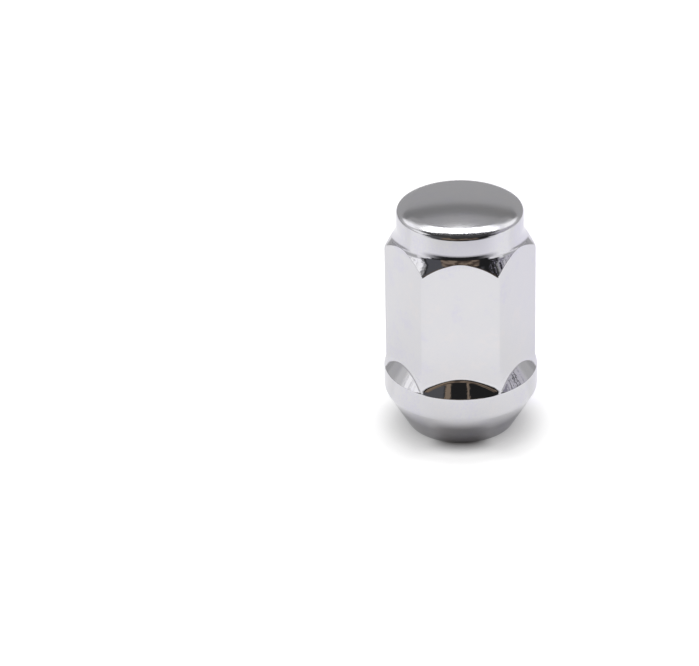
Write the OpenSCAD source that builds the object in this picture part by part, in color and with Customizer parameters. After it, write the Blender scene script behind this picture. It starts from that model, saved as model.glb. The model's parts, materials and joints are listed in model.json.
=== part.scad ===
// Closed-end lug nut: a conical seat, a round collar, a hexagon, a domed cap and a blind stud hole.
// Millimetres. The nut stands on its seat end: origin at the centre of the base ring, +Z towards the dome.

/* [Overall] */
// Height from the base ring to the top of the dome
overall_h = 35.6; // [34:0.1:50]

/* [Hexagon] */
// Wrench size across the flats
hex_af = 19; // [17:0.5:24]
// Radius on the six upright corners
hex_corner_r = 0.5; // [0.2:0.1:1.5]

/* [Seat and collar] */
// Included angle of the conical seat
seat_angle = 60; // [60:1:90]
// Width of the flat ring round the mouth of the hole
base_ring_w = 1.55; // [0.8:0.05:2]
// How far the collar stands out past the corners of the hexagon
collar_overhang = 0.3; // [0.1:0.05:2]
// Height of the collar's straight band
collar_h = 3.4; // [2.5:0.1:8]
// Slope of the ledges between the collar and the flats, measured from level
ledge_slope = 53; // [30:1:65]
// Radius on the outer edge of the base ring
base_edge_r = 0.3; // [0.1:0.05:0.5]
// Radius between the seat and the collar's band
seat_edge_r = 1.2; // [0.2:0.1:2]
// Radius on the collar's upper edge
collar_edge_r = 0.2; // [0.1:0.05:0.5]

/* [Cap] */
// Height from the top of the flats to the top of the dome
cap_h = 5.4; // [5:0.1:10]
// Step from the flats in to the foot of the cap
cap_inset = 0.33; // [0.1:0.01:1]
// Slope of the chamfer over the hexagon's corners, measured from level
chamfer_slope = 53; // [35:1:65]
// Radius in the hollow where the chamfer turns up into the cap
cap_fillet_r = 3; // [0.5:0.1:4]
// Radius of the shoulder at the top of the cap's side
shoulder_r = 0.7; // [0.5:0.1:2]
// Radius of the roll between the shoulder and the dome
roll_r = 4.5; // [3:0.1:7]
// Slope at which the roll meets the shoulder, measured from level
roll_slope = 30; // [20:1:45]
// Radius of the dome
dome_r = 45; // [30:1:90]

/* [Stud hole] */
// Nominal diameter of the stud's thread
thread_d = 12; // [10:0.5:14]
// Pitch of the thread
thread_pitch = 1.5; // [1:0.05:2]
// How far the countersunk mouth opens out past the thread
mouth_relief = 0.3; // [0.1:0.05:0.8]
// Included angle of the countersunk mouth
mouth_angle = 90; // [60:1:120]
// Included angle of the drill point at the blind end
drill_angle = 118; // [90:1:140]
// Metal left between the drill point and the top of the dome
end_wall = 5.4; // [4:0.1:12]

/* [Hidden] */
$fn = 96;

// Overlap of a cut or a core past the face that it has to clear
margin = 1;
// Overlap of an arc past the straights that it joins, so that they meet in a clean edge
hair = 0.0005;

// Hexagon: half the wrench size, the sharp corners and the rounded ones
flat_r = hex_af / 2;
sharp_corner_r = flat_r / cos(30);
corner_r = sharp_corner_r - hex_corner_r * (1 / cos(30) - 1);

// Stud hole: the wall is the thread's minor diameter, as the tap leaves its crests
minor_r = (thread_d - 1.0825 * thread_pitch) / 2;
mouth_r = thread_d / 2 + mouth_relief;
mouth_depth = (mouth_r - minor_r) / tan(mouth_angle / 2);
point_h = minor_r / tan(drill_angle / 2);
hole_depth = overall_h - end_wall - point_h;

// Seat and collar
base_r = mouth_r + base_ring_w;
collar_r = corner_r + collar_overhang;
seat_h = (collar_r - base_r) / tan(seat_angle / 2);
ledge_z = seat_h + collar_h;
core_r = flat_r - margin;
core_z = ledge_z + (collar_r - core_r) * tan(ledge_slope);

// Cap: the foot is where the chamfer's line meets the line of the cap's side
foot_r = flat_r - cap_inset;
foot_z = overall_h - cap_h + cap_inset * tan(chamfer_slope);
brim_r = sharp_corner_r + margin;
brim_z = foot_z - (brim_r - foot_r) * tan(chamfer_slope);

// Rounding of the cap: the dome, the roll and the shoulder, each arc lying inside the last and touching it
dome_z = overall_h - dome_r;
roll_dir = [sin(roll_slope), cos(roll_slope)];
shoulder_x = foot_r - shoulder_r;
roll_x = shoulder_x - (roll_r - shoulder_r) * roll_dir[0];
roll_z = dome_z + sqrt(pow(dome_r - roll_r, 2) - roll_x * roll_x);
shoulder_z = roll_z + (roll_r - shoulder_r) * roll_dir[1];
roll_low = [shoulder_x, shoulder_z] + shoulder_r * roll_dir;
roll_high = [0, dome_z] + dome_r * unit([roll_x, roll_z - dome_z]);

function unit(v) = v / norm(v);

// An outline of straights and true arcs: each corner is [x, y, radius], listed anticlockwise
function place(c) = [c[0], c[1]];
function toward(c, other) = unit(place(other) - place(c));
function half_angle(c, last, next) = acos(toward(c, last) * toward(c, next)) / 2;
function tangent_len(c, last, next) = c[2] / tan(half_angle(c, last, next));
function arc_ends(c, last, next) = c[2] == 0
    ? [place(c)]
    : [for (other = [last, next]) place(c) + tangent_len(c, last, next) * toward(c, other)];
function arc_centre(c, last, next) =
    place(c) + c[2] / sin(half_angle(c, last, next)) * unit(toward(c, last) + toward(c, next));
function turns_left(c, last, next) = cross(place(c) - place(last), place(next) - place(c)) > 0;

module arcs(corners, left) {
    n = len(corners);
    for (i = [0:n - 1]) {
        c = corners[i];
        last = corners[(i + n - 1) % n];
        next = corners[(i + 1) % n];
        if (c[2] > 0 && turns_left(c, last, next) == left)
            translate(arc_centre(c, last, next))
                circle(c[2] + hair);
    }
}

module outline(corners) {
    n = len(corners);
    difference() {
        union() {
            polygon([for (i = [0:n - 1])
                each arc_ends(corners[i], corners[(i + n - 1) % n], corners[(i + 1) % n])]);
            arcs(corners, true);
        }
        arcs(corners, false);
    }
}

// Conical seat, collar band and the cone of the ledges, which runs on into the hexagon
module collar() {
    rotate_extrude()
        outline([
            [0, 0, 0],
            [base_r, 0, base_edge_r],
            [collar_r, seat_h, seat_edge_r],
            [collar_r, ledge_z, collar_edge_r],
            [core_r, core_z, 0],
            [0, core_z, 0]
        ]);
}

// Everything that a lathe would leave above the collar: the chamfer's cone, its hollow and the domed cap
module turned_top() {
    rotate_extrude() {
        outline([
            [0, 0, 0],
            [brim_r, 0, 0],
            [brim_r, brim_z, 0],
            [foot_r, foot_z, cap_fillet_r],
            [foot_r, shoulder_z, 0],
            [roll_low[0], roll_low[1], 0],
            [roll_high[0], roll_high[1], 0],
            [0, roll_high[1], 0]
        ]);
        translate([shoulder_x, shoulder_z])
            circle(shoulder_r + 2 * hair);
        cap_segment([roll_x, roll_z], roll_r + hair, roll_low[1]);
        cap_segment([0, dome_z], dome_r, roll_high[1]);
    }
}

// The part of a disc that lies above a level, right of the axis
module cap_segment(centre, r, level) {
    intersection() {
        translate(centre)
            circle(r);
        translate([0, level])
            square([brim_r, overall_h]);
    }
}

// Hexagonal bar with rounded corners, from inside the collar to past the dome
module hexagon_bar() {
    translate([0, 0, seat_h + collar_h / 2])
        linear_extrude(overall_h)
            outline([for (i = [0:5])
                [sharp_corner_r * cos(60 * i), sharp_corner_r * sin(60 * i), hex_corner_r]]);
}

// Drilled hole with its point, and the countersunk mouth
module stud_hole() {
    translate([0, 0, -margin])
        cylinder(r = minor_r, h = hole_depth + margin);
    translate([0, 0, hole_depth])
        cylinder(r1 = minor_r, r2 = 0, h = point_h);
    translate([0, 0, -margin])
        cylinder(
            r1 = mouth_r + margin * tan(mouth_angle / 2),
            r2 = minor_r,
            h = mouth_depth + margin
        );
}

module lug_nut() {
    color("gainsboro")
        difference() {
            union() {
                collar();
                intersection() {
                    hexagon_bar();
                    turned_top();
                }
            }
            stud_hole();
        }
}

lug_nut();
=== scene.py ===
# %% [markdown]
# # A chrome lug nut, modelled by hand
# A closed-end lug nut is one piece of cold-forged steel. It has a conical seat, a round collar,
# a hexagon for the wrench, a domed cap, and a tapped hole that ends inside the cap.
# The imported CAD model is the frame: it gives the place and the outside size, and the nut below is
# modelled again around it, with the rounded edges and the thread that a close view needs.

# %% Load the frame
import json
import math

import bpy
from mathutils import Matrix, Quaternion, Vector


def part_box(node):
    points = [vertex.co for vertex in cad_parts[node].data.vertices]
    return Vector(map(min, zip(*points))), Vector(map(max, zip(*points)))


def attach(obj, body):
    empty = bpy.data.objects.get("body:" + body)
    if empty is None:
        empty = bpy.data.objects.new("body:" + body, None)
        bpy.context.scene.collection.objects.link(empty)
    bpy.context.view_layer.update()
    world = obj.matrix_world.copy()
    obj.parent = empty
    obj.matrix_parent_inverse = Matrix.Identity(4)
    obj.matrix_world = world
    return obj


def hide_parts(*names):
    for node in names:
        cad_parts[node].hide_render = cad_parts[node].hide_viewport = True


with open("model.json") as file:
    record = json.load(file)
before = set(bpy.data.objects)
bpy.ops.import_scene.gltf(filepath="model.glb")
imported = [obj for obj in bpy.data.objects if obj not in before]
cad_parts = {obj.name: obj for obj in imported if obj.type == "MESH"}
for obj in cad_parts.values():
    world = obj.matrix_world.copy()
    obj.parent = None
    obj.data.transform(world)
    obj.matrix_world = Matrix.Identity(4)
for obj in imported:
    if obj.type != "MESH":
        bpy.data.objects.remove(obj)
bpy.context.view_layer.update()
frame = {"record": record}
MM = 0.001
high_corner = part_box("lug_nut")[1]
overall_h = high_corner.z / MM
collar_r = high_corner.x / MM
print(f"frame: {overall_h:.2f} mm tall, {2 * collar_r:.2f} mm over the collar")

# %% [markdown]
# ## Camera
# The camera comes first, because every later choice is judged through it. The photograph was taken
# with a long lens from about 29 degrees above the table, so the upright edges stay almost parallel.
# The nut stands right of the middle of the picture. A lens shift could place it there, but a shift
# would also move every other view, so the camera is simply aimed beside the nut.

# %% Camera
IMAGE_SIZE = Vector((699, 666))
NUT_PIXEL = Vector((460.4, 311.7))
FOCAL_PIXELS = 3866
SENSOR_WIDTH = 36
AIM_ROUNDS = 4
camera_target = Vector((0, 0, 17.5)) * MM
camera_distance = 561.5 * MM
camera_elevation = math.radians(28.93)
camera_roll = math.radians(-1.27)

away = Vector((0, -math.cos(camera_elevation), math.sin(camera_elevation)))
camera_place = camera_target + camera_distance * away
aim_point = camera_target.copy()
for attempt in range(AIM_ROUNDS):
    stance = (aim_point - camera_place).to_track_quat("-Z", "Y")
    stance = stance @ Quaternion((0, 0, 1), camera_roll)
    seen_at = stance.inverted() @ (camera_target - camera_place)
    pixel = IMAGE_SIZE / 2 + Vector((seen_at.x, -seen_at.y)) * FOCAL_PIXELS / -seen_at.z
    miss = (NUT_PIXEL - pixel) * camera_distance / FOCAL_PIXELS
    aim_point += stance @ Vector((-miss.x, miss.y, 0))

bpy.ops.object.select_all(action="DESELECT")
bpy.ops.object.camera_add(location=camera_place)
camera = bpy.context.object
camera.rotation_euler = stance.to_euler()
camera.data.sensor_width = SENSOR_WIDTH
camera.data.lens = FOCAL_PIXELS / IMAGE_SIZE.x * SENSOR_WIDTH
camera.data.clip_start = 10 * MM
bpy.context.scene.camera = camera
bpy.context.scene.view_settings.view_transform = "Standard"
print(f"camera: {camera.data.lens:.1f} mm lens at {tuple(round(c, 4) for c in camera_place)}")

# %% [markdown]
# ## Shader sums
# Materials are built from nodes, and long chains of Math nodes are hard to read as clicks. This
# small class wraps one socket. Adding or multiplying two of them adds the Math node, and `node`
# makes any other node: its settings are set first, then its sockets are filled or linked.

# %% A socket that can be summed


class Wire:
    """An output socket of a node tree, with the sums that the materials use."""

    def __init__(self, tree, socket=None):
        self.tree = tree
        self.socket = socket

    def node(self, kind, settings=None, sockets=None, out=0):
        made = self.tree.nodes.new(kind)
        for name, value in (settings or {}).items():
            setattr(made, name, value)
        for name, value in (sockets or {}).items():
            if isinstance(value, Wire):
                self.tree.links.new(value.socket, made.inputs[name])
            else:
                made.inputs[name].default_value = value
        return Wire(self.tree, made.outputs[out] if made.outputs else None)

    def outlet(self, out):
        """Another output of the same node."""
        return Wire(self.tree, self.socket.node.outputs[out])

    def math(self, operation, first, second=0.0):
        return self.node("ShaderNodeMath", {"operation": operation}, {0: first, 1: second})

    def __add__(self, other):
        return self.math("ADD", self, other)

    def __sub__(self, other):
        return self.math("SUBTRACT", self, other)

    def __rsub__(self, other):
        return self.math("SUBTRACT", other, self)

    def __mul__(self, other):
        return self.math("MULTIPLY", self, other)

    def __truediv__(self, other):
        return self.math("DIVIDE", self, other)

    __radd__ = __add__
    __rmul__ = __mul__

    def ramp(self, low, high, kind="LINEAR"):
        """0 below low, 1 above high, and a slope between them."""
        settings = {"interpolation_type": kind}
        limits = {"Value": self, "From Min": low, "From Max": high}
        return self.node("ShaderNodeMapRange", settings, limits)

    def rise(self, low, high):
        """0 below low, 1 above high, and a soft step between them."""
        return self.ramp(low, high, "SMOOTHSTEP")

    def band(self, low, high, soft):
        """1 between low and high, with soft edges of the given width."""
        into = self.rise(low - soft / 2, low + soft / 2)
        past = self.rise(high - soft / 2, high + soft / 2)
        return into * (1 - past)

    def blend(self, under, over):
        """A colour that goes from under to over where this value goes from 0 to 1."""
        return self.node(
            "ShaderNodeMix",
            {"data_type": "RGBA"},
            {"Factor": self, 6: under, 7: over},
            out=2,
        )


def grey(level):
    return (level, level, level, 1)


print("shader sums ready")

# %% [markdown]
# ## Studio
# Chrome has hardly any colour of its own: nearly everything on it is a picture of the room. The
# photograph was taken on a white table under a large soft light, with grey walls and a dark, partly
# wooden camera side. Those show as the white flats, the grey dome, and the black and brown glints
# in the hollows. A picture of a room could be wrapped round the scene, but then nothing in it could
# be moved. So the room is painted on the world as soft-edged cards, each one a patch of directions,
# and it lights the nut and is reflected by it from any side. A later card covers an earlier one.

# %% Directions, in degrees: the turn from the camera's side, right being plus, and the height
world = bpy.data.worlds.new("studio")
bpy.context.scene.world = world
world.use_nodes = True
sky = Wire(world.node_tree)
heading = sky.node("ShaderNodeTexCoord", out="Generated")
rightward = sky.node("ShaderNodeSeparateXYZ", sockets={0: heading})
backward = rightward.outlet("Y")
upward = rightward.outlet("Z")
DEGREES = 180 / math.pi
turn = sky.math("ARCTAN2", rightward, 0 - backward) * DEGREES
spread = sky.math("ABSOLUTE", turn)
height = sky.math("ARCSINE", upward) * DEGREES
print("directions of the room ready")

# %% Walls, ceiling and the dark camera side
WALL = grey(0.65)
LOW_WALL = grey(0.9)
SIDE_WALL = grey(0.5)
SIDE_LIGHT = grey(1.2)
CEILING = grey(0.95)
BACK_WALL = grey(0.41)
BACK_GAP = grey(0.215)
BACK_TOP = grey(0.345)
DARK = grey(0.018)
GREY_FLAG = (0.093, 0.095, 0.101, 1)


def card(under, across, sides, heights, soft, colour):
    """The room with one more card on it, between two sides and two heights, with soft edges."""
    patch = across.band(*sides, soft) * height.band(*heights, soft)
    return patch.blend(under, colour)


room = card(WALL, spread, (-10, 112), (-40, 12), 10, LOW_WALL)
room = card(room, spread, (112, 190), (-40, 20), 10, SIDE_WALL)
room = card(room, spread, (76, 118), (3, 14), 5, SIDE_WALL)
room = card(room, spread, (-10, 190), (49, 100), 4, CEILING)
room = card(room, spread, (116, 143), (31, 50), 6, SIDE_LIGHT)
room = card(room, spread, (130, 190), (-40, 31), 6, BACK_WALL)
room = card(room, spread, (145, 190), (29.3, 38.5), 3, BACK_GAP)
room = card(room, spread, (150, 190), (38.5, 49), 5, BACK_TOP)
room = card(room, turn, (-68, 69), (-40, 62), 9, DARK)
room = card(room, spread, (50, 75), (-40, 8), 6, LOW_WALL)
room = card(room, turn, (-59, -29), (5, 60), 5, GREY_FLAG)
print(f"walls and cards: {len(world.node_tree.nodes)} nodes")

# %% [markdown]
# ## Wood and clutter
# The pockets of the hexagon mirror the camera's side: something wooden in the middle, and
# small bright and dark things at the sides. None of it can be made out, so noise stands in for it.
# Its streaks are a few degrees wide, and thin squiggles run where the noise passes its middle value.

# %% Wood, and clutter at the sides
WOOD = (0.24, 0.187, 0.14, 1)
DARK_WOOD = (0.075, 0.056, 0.044, 1)
REFLECTOR = grey(1.15)
LILAC = (0.3, 0.285, 0.345, 1)
PALE_LILAC = (0.6, 0.585, 0.63, 1)
STREAK_TURN = 7
STREAK_HEIGHT = 10
NOISE_MIDDLE = 0.5
streaks = sky.node("ShaderNodeCombineXYZ", sockets={0: turn / STREAK_TURN, 1: height / STREAK_HEIGHT})
clutter = sky.node("ShaderNodeTexNoise", sockets={"Vector": streaks, "Scale": 1.2, "Detail": 3})
grain = sky.node("ShaderNodeTexNoise", sockets={"Vector": streaks, "Scale": 0.45, "Detail": 1})
wood = grain.rise(0.4, 0.6).blend(DARK_WOOD, WOOD)
room = card(room, turn, (-32, 32), (3, 36), 4, wood)
room = card(room, turn, (-27, -18), (35, 60), 3, WOOD)
room = card(room, turn, (11, 15), (35, 60), 3, WOOD)
room = card(room, turn, (39, 46), (42, 52), 3, GREY_FLAG)
left_side = turn.band(-96, -65, 10) * height.band(16, 46, 5)
room = (left_side * clutter.rise(0.3, 0.55)).blend(room, REFLECTOR)
right_side = turn.band(70, 80, 4) * height.band(16, 46, 4)
room = right_side.blend(room, LILAC)
room = (right_side * clutter.rise(0.54, 0.62)).blend(room, WALL)
room = (right_side * (1 - clutter.rise(0.36, 0.44))).blend(room, DARK)
room = card(room, turn, (80, 110), (10, 46), 4, PALE_LILAC)
squiggle = 1 - sky.math("ABSOLUTE", clutter - NOISE_MIDDLE).rise(0.008, 0.03)
squiggle = squiggle * height.band(12, 46, 4)
room = (squiggle * turn.band(54, 69, 6)).blend(room, LILAC)
room = (squiggle * turn.band(76, 108, 6)).blend(room, GREY_FLAG)
print(f"with wood and clutter: {len(world.node_tree.nodes)} nodes")

# %% [markdown]
# ## Softbox
# The long highlight along the front of the dome is a light box above and behind the nut. It lies
# flat under the ceiling, so it is drawn in ceiling coordinates: how far back and how far across a
# direction goes while it climbs by one. The box is narrower at the back, and a seam crosses it.

# %% Softbox on the ceiling, with a seam across it and a dark end
SOFTBOX = grey(10)
DIM_TOP = grey(0.05)
LEAST_CLIMB = 0.05
SOFTBOX_TAPER = 0.7
SEAM_SHADE = 0.97
ceiling = sky.math("MAXIMUM", upward, LEAST_CLIMB)
along = backward / ceiling
across = sky.math("ABSOLUTE", rightward / ceiling)
dark_end = (1 - along.rise(0.31, 0.39)) * (1 - across.rise(0.72, 0.88)) * height.rise(44, 50)
room = dark_end.blend(room, DIM_TOP)
tapered = along + SOFTBOX_TAPER * across
softbox = along.rise(0.31, 0.41) * (1 - tapered.rise(0.78, 0.96)) * (1 - across.rise(0.28, 0.54))
seam = along.band(0.52, 0.7, 0.06)
room = (softbox * (1 - SEAM_SHADE * seam)).blend(room, SOFTBOX)
background = world.node_tree.nodes["Background"]
world.node_tree.links.new(room.socket, background.inputs["Color"])
print(f"world: {len(world.node_tree.nodes)} nodes")

# %% [markdown]
# ## Table
# The nut stands on a white table that fills the picture. A white that is only lit would have to be
# overlit to look pure white, so the table adds a little light of its own, and only for what the
# camera or a mirror sees. It throws none on the nut. Close to the seat that light is weaker, so the
# soft shadow round the seat is partly real shade and partly painted shadow.
# The white ends some way off, at the front sooner than at the back, as the mirror image shows.

# %% Floor
CARD = (0.55, 0.55, 0.555, 1)
TABLE_BACK = grey(0.68)
TABLE_FRONT = grey(0.03)
FLOOR_SIZE = 3
TINY = 0.0001
FIRST_DIP = 0.17

bpy.ops.object.select_all(action="DESELECT")
bpy.ops.mesh.primitive_plane_add(size=FLOOR_SIZE)
floor = bpy.context.object
floor.name = "floor"
floor_paint = bpy.data.materials.new("white_table")
floor_paint.use_nodes = True
floor_paint.node_tree.nodes.clear()
table = Wire(floor_paint.node_tree)
place = table.node("ShaderNodeTexCoord", out="Object")
right_way = table.node("ShaderNodeSeparateXYZ", sockets={0: place})
back_way = right_way.outlet("Y")
far = table.node("ShaderNodeVectorMath", {"operation": "LENGTH"}, {0: place}, out="Value") / MM
turned = back_way / (MM * far + TINY)
behind = turned.rise(-0.05, 0.3) * far.rise(160, 320)
dimming = far.rise(64, 69) * FIRST_DIP + far.ramp(70, 130) * (1 - FIRST_DIP)
ahead = (0 - turned).rise(0.3, 0.9) * dimming
colour = behind.blend(CARD, TABLE_BACK)
colour = ahead.blend(colour, TABLE_FRONT)
print(f"floor: {FLOOR_SIZE} m square")

# %% [markdown]
# ## Glow and shadow
# Two shadows have to be right. The camera sees a soft grey ring on the table, and the seat mirrors
# the darker ring close to it. Each is partly real shade on the matt white and partly painted shadow:
# a glow that fades towards the foot of the nut, with distances in millimetres from the axis. The glow
# is also painted a little weaker where the flats at the two sides mirror the table than where the
# front one does, a painted shade that shows the corners between them.

# %% Glow that the chrome mirrors
MIRROR_GLOW = 0.66
SHADED_GLOW = 0.16
FRONT_GLOW = 0.07
SIDE_DIP = 0.08
LEFT_LIFT = 0.035
CLOSE_SHARE = 0.92
SIDE_EDGE = 10 * MM
ray = table.node("ShaderNodeLightPath", out="Is Camera Ray")
mirror = ray.outlet("Is Glossy Ray") + ray.outlet("Is Transmission Ray")
gone = behind + ahead
front = (0 - turned).rise(0.8, 0.99)
to_left = (0 - right_way).ramp(0, SIDE_EDGE)
to_right = right_way.ramp(0, SIDE_EDGE)
# Painted shade: the mirrored glow is a little weaker behind the sides, so the side flats mirror the
# table darker, and it fades towards the foot of the nut, so the seat mirrors a darker ring.
flat_shade = SIDE_DIP * turned.ramp(0, 0.12) - LEFT_LIFT * turned.ramp(0.3, 0.4) * to_left
side_mirror = SHADED_GLOW + far.ramp(9.3, 11.5) * (MIRROR_GLOW - SHADED_GLOW - flat_shade)
front_mirror = far.rise(8, 9.5) * FRONT_GLOW + far.rise(9.6, 11.2) * (MIRROR_GLOW - FRONT_GLOW)
mirror_glow = side_mirror + front * (front_mirror - side_mirror)
mirror_glow = mirror_glow * (CLOSE_SHARE + (1 - CLOSE_SHARE) * far.ramp(20, 40))
print(f"mirrored table: {len(floor_paint.node_tree.nodes)} nodes")

# %% Glow that the camera sees
FOOT_GLOW = 0.22
SIDE_RISE = 0.44
FRONT_RISE = 0.77
OPEN_RISE = 0.18
FAR_RISE = 0.5
# Painted shadow: the glow that the camera sees fades towards the foot of the nut, deepening the real
# shade round the seat.
side_shade = FOOT_GLOW + far.ramp(7, 12.5) * SIDE_RISE
front_shade = far.rise(7.5, 12.3) * FRONT_RISE
camera_glow = side_shade + front * (front_shade - side_shade)
camera_glow = camera_glow + gone * FAR_RISE + far.rise(12, 16) * OPEN_RISE
print(f"table with its shadow: {len(floor_paint.node_tree.nodes)} nodes")

# %% [markdown]
# ## Paint of the table
# The glow is added to a plain matt white. From below the table is see-through, and so it is under
# the mouth of the hole, where the nut hides it: then a view from underneath shows the thread.

# %% Table paint
LILAC_GLOW = (1, 0.99, 1.06, 1)
HOLE_EDGE = (6.05, 6.15)
strength = mirror.ramp(0, 1) * mirror_glow * (1 - gone) + ray * camera_glow
glow_tint = (to_right * turned.ramp(0.2, 0.4)).blend(grey(1), LILAC_GLOW)
glow = table.node("ShaderNodeEmission", sockets={"Color": glow_tint, "Strength": strength})
white = table.node("ShaderNodeBsdfDiffuse", sockets={"Color": colour})
top_side = table.node("ShaderNodeAddShader", sockets={0: white, 1: glow})
clear = table.node("ShaderNodeBsdfTransparent")
from_above = 1 - table.node("ShaderNodeNewGeometry", out="Backfacing")
solid = from_above * far.rise(*HOLE_EDGE)
paint = table.node("ShaderNodeMixShader", sockets={0: solid, 1: clear, 2: top_side})
table.node("ShaderNodeOutputMaterial", sockets={"Surface": paint})
floor.data.materials.append(floor_paint)
print(f"white table: {len(floor_paint.node_tree.nodes)} nodes")

# %% [markdown]
# ## Sections of the nut
# The nut is round at both ends and six-sided between, so its outline changes with the angle at
# which it is cut. It could be turned on a lathe by Spin and then milled flat by Bisect, but the
# small rounds along the curved edges would be hard to bevel afterwards, and chrome shows every
# faulty facet. So it is planked like a boat: upright sections are drawn as lines of extruded
# points, each with its rounds already in it, and neighbouring sections are bridged. The outline
# repeats twelve times, from the corner of the hexagon to the middle of a flat, so only a twelfth
# is drawn. Forging blunts the six corners, so the rounds above and below a flat grow towards them.

# %% Sizes of the outside, in millimetres
hex_across = 19
hex_corner_r = 0.5
seat_angle = math.radians(60)
base_ring_w = 1.55
collar_h = 3.4
ledge_slope = math.radians(53)
base_edge_r = 0.3
seat_edge_r = 1.2
rim_edge_r = 0.2
rim_corner_r = 0.7
ledge_hollow_r = 1.1
ledge_corner_r = 4
cap_h = 5.4
cap_inset = 0.33
chamfer_slope = math.radians(53)
brow_edge_r = 0.18
brow_corner_r = 0.8
cap_hollow_r = 3
shoulder_r = 0.7
roll_r = 4.5
roll_slope = math.radians(30)
dome_r = 45
thread_d = 12
mouth_relief = 0.3

flat_r = hex_across / 2
half_side_cosine = math.cos(math.radians(30))
corner_r = flat_r / half_side_cosine - hex_corner_r * (1 / half_side_cosine - 1)
mouth_r = thread_d / 2 + mouth_relief
base_r = mouth_r + base_ring_w
seat_h = (collar_r - base_r) / math.tan(seat_angle / 2)
ledge_z = seat_h + collar_h
print(f"flats at {flat_r} mm, collar from {seat_h:.2f} to {ledge_z:.2f} mm up")

# %% Arcs and rounded corners of a section, each place being (distance from the axis, height)
from collections import namedtuple

Point = namedtuple("Point", "place facing")


def arc(centre, start, end, steps):
    """Points on the shorter way round a centre, from start to end, each with the way it faces."""
    first = math.atan2(start.y - centre.y, start.x - centre.x)
    last = math.atan2(end.y - centre.y, end.x - centre.x)
    swing = (last - first + math.pi) % (2 * math.pi) - math.pi
    radius = (start - centre).length
    angles = [first + swing * i / steps for i in range(steps + 1)]
    spokes = [Vector((math.cos(a), math.sin(a))) for a in angles]
    return [Point(centre + radius * spoke, spoke * math.copysign(1, swing)) for spoke in spokes]


def rounding(before, corner, after, radius):
    """Centre, start and end of the arc that rounds a corner between two straights."""
    back = (before - corner).normalized()
    ahead = (after - corner).normalized()
    half = back.angle(ahead) / 2
    centre = corner + (back + ahead).normalized() * radius / math.sin(half)
    reach = radius / math.tan(half)
    return centre, corner + reach * back, corner + reach * ahead


def round_off(before, corner, after, radius, steps):
    """Points on the arc that rounds a corner."""
    return arc(*rounding(before, corner, after, radius), steps)


print("arcs ready")

# %% Fixed points of the sections
axis_foot = Vector((0, 0))
base = Vector((base_r, 0))
seat = Vector((collar_r, seat_h))
rim = Vector((collar_r, ledge_z))
foot_z = overall_h - cap_h + cap_inset * math.tan(chamfer_slope)
foot = Vector((flat_r - cap_inset, foot_z))
down_chamfer = foot + Vector((1, -math.tan(chamfer_slope)))
up_side = foot + Vector((0, 1))
hollow_centre, hollow_low, hollow_high = rounding(down_chamfer, foot, up_side, cap_hollow_r)

apex = Vector((0, overall_h))
dome = Vector((0, overall_h - dome_r))
roll_way = Vector((math.sin(roll_slope), math.cos(roll_slope)))
roll_x = foot.x - shoulder_r - (roll_r - shoulder_r) * roll_way.x
roll = Vector((roll_x, dome.y + math.sqrt((dome_r - roll_r) ** 2 - roll_x**2)))
shoulder = roll + (roll_r - shoulder_r) * roll_way
side_top = shoulder + Vector((shoulder_r, 0))
roll_low = shoulder + shoulder_r * roll_way
roll_high = dome + dome_r * (roll - dome).normalized()
print(f"cap side {hollow_high.y:.2f} to {side_top.y:.2f} mm up, dome from {roll_high.x:.2f} mm out")

# %% Rounds above and below a flat
BROW_STEPS = 6
BLEND_SHARE = 0.96


def cornering(hex_r):
    """0 at the middle of a flat, 1 at a corner of the hexagon."""
    return (hex_r - flat_r) / (corner_r - flat_r)


def brow(hex_r, ledge):
    """The rounded top edge of a flat, blunter at the corners, and where it meets the hollow."""
    radius = brow_edge_r + (brow_corner_r - brow_edge_r) * cornering(hex_r) ** 2
    peak = Vector((hex_r, foot.y - (hex_r - foot.x) * math.tan(chamfer_slope)))
    edge = round_off(ledge, peak, foot, radius, BROW_STEPS)
    if edge[-1].place.x >= hollow_low.x:
        return edge, hollow_low
    apart = cap_hollow_r + radius
    out = hollow_centre.x - hex_r + radius
    middle = Vector((hex_r - radius, hollow_centre.y - math.sqrt(apart**2 - out**2)))
    touch = hollow_centre + cap_hollow_r * (middle - hollow_centre).normalized()
    return arc(middle, Vector((hex_r, middle.y)), touch, BROW_STEPS), touch


def run_out(hex_r):
    """The rim of the collar and the hollow of the ledge, which is a softer step at the corners."""
    softness = cornering(hex_r) ** 2
    rim_r = rim_edge_r + (rim_corner_r - rim_edge_r) * softness
    hollow_r = ledge_hollow_r + (ledge_corner_r - ledge_hollow_r) * softness
    step = collar_r - hex_r
    lean = min(math.pi / 2 - ledge_slope, math.acos(1 - BLEND_SHARE * step / (rim_r + hollow_r)))
    way = Vector((math.cos(lean), math.sin(lean)))
    climb = math.tan(ledge_slope)
    lift = (1 - way.x) * climb - way.y
    low = Vector((collar_r - rim_r, ledge_z + rim_r * lift))
    high = Vector((hex_r + hollow_r, ledge_z + step * climb - hollow_r * lift))
    line = arc(low, low + Vector((rim_r, 0)), low + rim_r * way, steps=5)
    return line + arc(high, high - hollow_r * way, high - Vector((hollow_r, 0)), steps=7)


print(f"the step of the run-out is {collar_r - corner_r:.2f} mm at a corner")

# %% One section


def section(hex_r):
    """The outline from the middle of the base to the top of the dome, with the hexagon at hex_r."""
    ledge = Vector((hex_r, ledge_z + (collar_r - hex_r) * math.tan(ledge_slope)))
    edge, hollow_start = brow(hex_r, ledge)
    line = [Point(axis_foot, Vector((0, -1)))]
    line += round_off(axis_foot, base, seat, base_edge_r, steps=5)
    line += round_off(base, seat, rim, seat_edge_r, steps=8)
    line += run_out(hex_r)
    line += edge
    line += arc(hollow_centre, hollow_start, hollow_high, steps=12)
    line += arc(shoulder, side_top, roll_low, steps=12)
    line += arc(roll, roll_low, roll_high, steps=8)[1:]
    line += arc(dome, roll_high, apex, steps=12)[1:]
    return line


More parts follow.
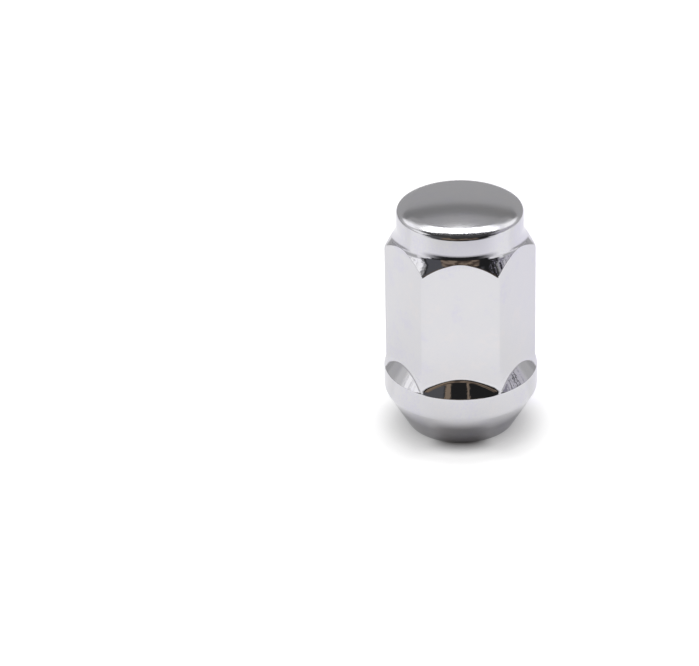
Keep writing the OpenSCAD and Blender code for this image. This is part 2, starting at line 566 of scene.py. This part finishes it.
print(f"a section has {len(section(flat_r))} points")

# %% [markdown]
# ## Drawing the ribs
# A point is a plane primitive merged to its centre, and a line is that point extruded again and
# again. The ribs stand at even angles across the flat, and closer together round the corner.

# %% Drawing by extruded points


def new_mesh(name):
    """An empty mesh in edit mode, at the origin."""
    bpy.ops.object.select_all(action="DESELECT")
    bpy.ops.mesh.primitive_plane_add(size=1)
    made = bpy.context.object
    made.name = name
    made.data.name = name
    bpy.ops.object.mode_set(mode="EDIT")
    bpy.ops.mesh.delete(type="VERT")
    return made


def upright(place, azimuth):
    """A section's place, in the upright plane at an angle round the axis."""
    return Vector((place.x * math.cos(azimuth), place.x * math.sin(azimuth), place.y))


def draw(line, azimuth):
    """Draw a section's places in edit mode, as a line of extruded points."""
    places = [upright(place, azimuth) for place in line]
    bpy.ops.mesh.select_all(action="DESELECT")
    bpy.ops.mesh.primitive_plane_add(size=1, location=places[0])
    bpy.ops.mesh.merge(type="CENTER")
    for here, there in zip(places, places[1:]):
        bpy.ops.mesh.extrude_vertices_move(TRANSFORM_OT_translate={"value": there - here})


print("drawing ready")

# %% Outline of the hexagon, and the angles of the ribs
FLAT_STEPS = 19
CORNER_STEPS = 5
sixth = math.radians(60)
corner_centre = Vector((flat_r - hex_corner_r, (flat_r - hex_corner_r) * math.tan(sixth / 2)))
flat_end = math.atan2(corner_centre.y, flat_r)


def hexagon(angle):
    """How far out the hexagon's rounded outline is, at an angle from the middle of a flat."""
    angle = min(abs(angle), sixth - angle)
    if angle < flat_end:
        return flat_r / math.cos(angle)
    off = sixth / 2 - angle
    reach = corner_centre.length
    return reach * math.cos(off) + math.sqrt(hex_corner_r**2 - (reach * math.sin(off)) ** 2)


angles = [flat_end * i / FLAT_STEPS for i in range(FLAT_STEPS)]
for i in range(CORNER_STEPS + 1):
    swing = sixth / 2 * i / CORNER_STEPS
    spot = corner_centre + hex_corner_r * Vector((math.cos(swing), math.sin(swing)))
    angles.append(math.atan2(spot.y, spot.x))
azimuths = [sixth / 2 - angle for angle in angles]
print(f"{len(angles)} ribs from the middle of a flat to a corner")

# %% Ribs of a twelfth
nut = new_mesh("lug_nut_chrome")
for angle, azimuth in zip(angles, azimuths):
    draw([point.place for point in section(hexagon(angle))], azimuth)
nut.update_from_editmode()
print(f"ribs: {len(nut.data.vertices)} points")

# %% [markdown]
# ## Planking
# Bridge Edge Loops lays a strip of faces between two ribs. A rib's edges are found by the angle of
# their middles. The finished twelfth is mirrored to a sixth, copied round, and merged into a skin.

# %% Skin of a twelfth
import bmesh

MERGE = 0.001
SAME_ANGLE = math.radians(0.03)


def select_edges(wanted):
    """In edit mode, select just the edges that a test wants."""
    bpy.ops.mesh.select_all(action="DESELECT")
    mesh = bpy.context.object.data
    sheet = bmesh.from_edit_mesh(mesh)
    for edge in sheet.edges:
        edge.select_set(wanted((edge.verts[0].co + edge.verts[1].co) / 2))
    bmesh.update_edit_mesh(mesh)


def on_rib(middle, azimuths):
    """Whether an edge with this middle lies along one of the ribs, and not just at the axis."""
    azimuth = math.atan2(middle.y, middle.x)
    return middle.xy.length > MERGE and min(abs(azimuth - a) for a in azimuths) < SAME_ANGLE


bpy.ops.mesh.select_mode(type="EDGE")
for pair in zip(azimuths, azimuths[1:]):
    select_edges(lambda middle: on_rib(middle, pair))
    bpy.ops.mesh.bridge_edge_loops()
bpy.ops.mesh.select_mode(type="VERT")
bpy.ops.mesh.select_all(action="SELECT")
bpy.ops.mesh.remove_doubles(threshold=MERGE)
nut.update_from_editmode()
print(f"a twelfth: {len(nut.data.polygons)} faces")

# %% Whole skin
ORIGIN = (0, 0, 0)
MORE_SIXTHS = 5
bpy.ops.mesh.select_all(action="SELECT")
bpy.ops.mesh.duplicate()
bpy.ops.transform.resize(value=(1, -1, 1), center_override=ORIGIN)
bpy.ops.mesh.select_all(action="SELECT")
for copy in range(MORE_SIXTHS):
    bpy.ops.mesh.duplicate()
    bpy.ops.transform.rotate(value=sixth, orient_axis="Z", center_override=ORIGIN)
bpy.ops.mesh.select_all(action="SELECT")
bpy.ops.mesh.remove_doubles(threshold=MERGE)
bpy.ops.mesh.normals_make_consistent(inside=False)
bpy.ops.object.mode_set(mode="OBJECT")


def open_edges(piece):
    """How many edges don't lie between just two faces."""
    sheet = bmesh.new()
    sheet.from_mesh(piece.data)
    count = sum(not edge.is_manifold for edge in sheet.edges)
    sheet.free()
    return count


print(f"skin: {len(nut.data.polygons)} faces, {open_edges(nut)} open edges")

# %% [markdown]
# ## Stud hole
# In the shop the blind hole is drilled, countersunk and tapped, and the same three tools are used
# here. The drill and its countersink are one section spun round the axis. The tap is a zigzag line
# that the Screw modifier winds up by one pitch in one turn, so that each tooth runs into the next.
# Boolean modifiers then take them out of the solid nut.

# %% Drill and countersink
UP = Vector((0, 0, 1))
stud_thread = next(m for m in frame["record"]["mounts"] if m["name"] == "stud_thread")
minor_r = stud_thread["dims"]["r_mm"]
end_wall = 5.4
drill_angle = math.radians(118)
COUNTERSINK_SLOPE = 1.0
TOOL_STEPS = 96
clear_below = 1.0
point_z = overall_h - end_wall
bore_z = point_z - minor_r / math.tan(drill_angle / 2)
mouth_z = (mouth_r - minor_r) * COUNTERSINK_SLOPE
drill = new_mesh("drill")
draw(
    [
        Vector((0, -clear_below)),
        Vector((mouth_r + clear_below / COUNTERSINK_SLOPE, -clear_below)),
        Vector((minor_r, mouth_z)),
        Vector((minor_r, bore_z)),
        Vector((0, point_z)),
    ],
    0,
)
bpy.ops.mesh.select_all(action="SELECT")
bpy.ops.mesh.spin(steps=TOOL_STEPS, angle=2 * math.pi, center=ORIGIN, axis=UP)
bpy.ops.mesh.select_all(action="SELECT")
bpy.ops.mesh.remove_doubles(threshold=MERGE)
bpy.ops.mesh.normals_make_consistent(inside=False)
bpy.ops.object.mode_set(mode="OBJECT")
print(f"drill: {len(drill.data.polygons)} faces, {open_edges(drill)} open edges")

# %% Tap
pitch = 1.5
plain_end = 3.0
tap_overlap = 0.15
flank_angle = math.radians(30)
TURNS_BELOW = 3
TURNS_ABOVE = 2
HALF_STEP = math.pi / TOOL_STEPS
thread_top = bore_z - plain_end
root_r = thread_d / 2
core_r = minor_r - tap_overlap
flank_h = (root_r - core_r) * math.tan(flank_angle)
root_h = pitch / 8
core_h = pitch - root_h - 2 * flank_h
line = [Vector((core_r, -TURNS_BELOW * pitch))]
while line[-1].y < thread_top + TURNS_ABOVE * pitch:
    for out, climb in ((core_r, core_h), (root_r, flank_h), (root_r, root_h), (core_r, flank_h)):
        line.append(Vector((out, line[-1].y + climb)))
tap = new_mesh("tap")
draw(line, HALF_STEP)
bpy.ops.object.mode_set(mode="OBJECT")
print(f"tap: {TURNS_BELOW} turns of spare below, {len(line)} points")

# %% Wind the tap, and cut it to length
wind = tap.modifiers.new("wind", "SCREW")
wind.axis = "Z"
wind.angle = 2 * math.pi
wind.screw_offset = pitch
wind.steps = TOOL_STEPS
wind.render_steps = TOOL_STEPS
wind.use_merge_vertices = True
wind.merge_threshold = MERGE
bpy.ops.object.modifier_apply(modifier="wind")
bpy.ops.object.mode_set(mode="EDIT")
for level, side in ((-clear_below, "clear_inner"), (thread_top, "clear_outer")):
    bpy.ops.mesh.select_all(action="SELECT")
    bpy.ops.mesh.bisect(plane_co=UP * level, plane_no=UP, use_fill=True, **{side: True})
bpy.ops.mesh.select_all(action="SELECT")
bpy.ops.mesh.remove_doubles(threshold=MERGE)
bpy.ops.mesh.normals_make_consistent(inside=False)
bpy.ops.object.mode_set(mode="OBJECT")
print(f"tap: {len(tap.data.polygons)} faces, {open_edges(tap)} open edges")

# %% Cut the hole
for tool in (drill, tap):
    bpy.ops.object.select_all(action="DESELECT")
    bpy.context.view_layer.objects.active = nut
    cut = nut.modifiers.new("cut", "BOOLEAN")
    cut.operation = "DIFFERENCE"
    cut.solver = "EXACT"
    cut.object = tool
    bpy.ops.object.modifier_apply(modifier="cut")
    tool.select_set(True)
    bpy.ops.object.delete()
    print(f"nut: {len(nut.data.polygons)} faces, {open_edges(nut)} open edges")

# %% [markdown]
# ## Metres and normals
# The frame is in metres, so the nut is scaled down about the origin in edit mode, which keeps the
# object itself unscaled. Smooth shading averages the faces round a point, and where narrow faces
# meet wide ones the average leans a little, which a mirror finish shows as a seam. The sections
# know exactly which way each of their points faces, so those normals are set on the outside.

# %% Finish the mesh
SHARP = math.radians(35)
bpy.ops.object.select_all(action="DESELECT")
nut.select_set(True)
bpy.context.view_layer.objects.active = nut
bpy.ops.object.mode_set(mode="EDIT")
bpy.ops.mesh.select_all(action="SELECT")
bpy.ops.transform.resize(value=(MM, MM, MM), center_override=ORIGIN)
bpy.ops.object.mode_set(mode="OBJECT")
bpy.ops.object.shade_smooth_by_angle(angle=SHARP)
nut.data.calc_loop_triangles()
print(f"nut: {len(nut.data.loop_triangles)} triangles, {open_edges(nut)} open edges")

# %% Which way the ribs face: out from the axis, round it, and up
from mathutils.kdtree import KDTree

NUDGE = 0.0005
rib_points = KDTree(len(angles) * len(section(flat_r)))
rib_facings = []
for angle, azimuth in zip(angles, azimuths):
    line = section(hexagon(angle))
    sides = zip(section(hexagon(angle - NUDGE)), section(hexagon(angle + NUDGE)))
    for point, (left, right) in zip(line, sides):
        drift = (left.place - right.place).dot(point.facing) / (2 * NUDGE)
        lean = drift / max(point.place.x, MERGE)
        rib_points.insert(upright(point.place, azimuth), len(rib_facings))
        rib_facings.append(Vector((point.facing.x, -lean, point.facing.y)).normalized())
rib_points.balance()
print(f"{len(rib_facings)} facings of the ribs")

# %% Normals of the outside
NEAR = 0.01
normals = []
for loop in nut.data.loops:
    spot = nut.data.vertices[loop.vertex_index].co / MM
    azimuth = math.atan2(spot.y, spot.x)
    folded = azimuth % sixth
    hand = 1
    if folded > sixth / 2:
        folded = sixth - folded
        hand = -1
    index, gap = rib_points.find(upright(Vector((spot.xy.length, spot.z)), folded))[1:]
    if gap > NEAR:
        normals.append(ORIGIN)
        continue
    facing = rib_facings[index]
    out = upright(Vector((1, 0)), azimuth)
    normals.append(facing.x * out + hand * facing.y * UP.cross(out) + facing.z * UP)
nut.data.normals_split_custom_set(normals)
print(f"{sum(n != ORIGIN for n in normals)} of {len(normals)} normals set from the sections")

# %% [markdown]
# ## Chrome
# Plated chrome is a mirror that keeps about three quarters of the light. The plating follows the
# forged steel, so the rounds are a little uneven and have a few pits, the dome is satin where it
# was left as struck, and the tapped hole is duller steel. The plate's thickness varies, which
# gives it faint cool and warm blotches, cooler round the side of the cap. Images could hold all
# this, but noise in the nut's own coordinates has no seams and stays sharp at any distance.

# %% Where on the nut: place, height and distance from the axis in millimetres, and tilt
chrome = bpy.data.materials.new("chrome_plate")
chrome.use_nodes = True
shader = chrome.node_tree.nodes["Principled BSDF"]
shader.inputs["Metallic"].default_value = 1
plate = Wire(chrome.node_tree)
spot = plate.node("ShaderNodeTexCoord", out="Object")
place = plate.node("ShaderNodeVectorMath", {"operation": "SCALE"}, {0: spot, "Scale": 1 / MM})
level = plate.node("ShaderNodeSeparateXYZ", sockets={0: place}).outlet("Z")
tilt = plate.node("ShaderNodeSeparateXYZ", sockets={0: spot.outlet("Normal")}).outlet("Z")
flat_place = plate.node("ShaderNodeVectorMath", {"operation": "MULTIPLY"}, {0: place, 1: (1, 1, 0)})
radius = plate.node("ShaderNodeVectorMath", {"operation": "LENGTH"}, {0: flat_place}, out="Value")

dome_mask = level.rise(33.6, 34.6)
sloping = tilt.band(0.12, 0.985, 0.04)
bore = (1 - radius.rise(6.2, 6.35)) * (1 - level.rise(30.6, 31))
rounded = 1 - level.band(12, 29, 2)
cap_side = level.band(29.5, 33.6, 1)
print(f"masks of the chrome: {len(chrome.node_tree.nodes)} nodes")

# %% Tints and roughness of the plate
CHROME = (0.715, 0.71, 0.735, 1)
COOL = (0.69, 0.68, 0.745, 1)
WARM = (0.74, 0.722, 0.735, 1)
STEEL = (0.4, 0.39, 0.38, 1)
TINT_RANGE = (0.02, 0.3)
BRIGHT = 0.035
SATIN = 0.1
TAPPED = 0.3
UNEVEN = 0.02


def noise(scale):
    """Noise from about -0.5 to 0.5, with so many blobs to a millimetre."""
    return plate.node("ShaderNodeTexNoise", sockets={"Vector": place, "Scale": scale}) - NOISE_MIDDLE


blotch = noise(0.2) + noise(1.4) * 0.4 + noise(4.5) * rounded * 0.8 + cap_side * 0.16
colour = blotch.rise(*TINT_RANGE).blend(CHROME, COOL)
colour = (0 - blotch).rise(*TINT_RANGE).blend(colour, WARM)
colour = bore.blend(colour, STEEL)
roughness = BRIGHT + dome_mask * SATIN + bore * TAPPED + noise(3.0) * UNEVEN
print(f"with tints: {len(chrome.node_tree.nodes)} nodes")

# %% Unevenness and pits, in micrometres
MICRON = 1e-6
PIT_DEPTH = 12
cells = plate.node("ShaderNodeTexVoronoi", sockets={"Vector": place, "Scale": 0.3}, out="Distance")
pit = 1 - cells.rise(0.02, 0.045)
waves = noise(1.1) * 7 + noise(2.6) * 3 - pit * PIT_DEPTH
peel = noise(0.35) * 4 + waves * sloping + noise(6) * 3 * dome_mask
bump = plate.node("ShaderNodeBump", sockets={"Height": peel, "Distance": MICRON})
chrome.node_tree.links.new(colour.socket, shader.inputs["Base Color"])
chrome.node_tree.links.new(roughness.socket, shader.inputs["Roughness"])
chrome.node_tree.links.new(bump.socket, shader.inputs["Normal"])
nut.data.materials.clear()
nut.data.materials.append(chrome)
print(f"chrome: {len(chrome.node_tree.nodes)} nodes")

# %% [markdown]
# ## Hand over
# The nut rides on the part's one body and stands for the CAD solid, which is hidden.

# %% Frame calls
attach(nut, "root")
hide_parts("lug_nut")
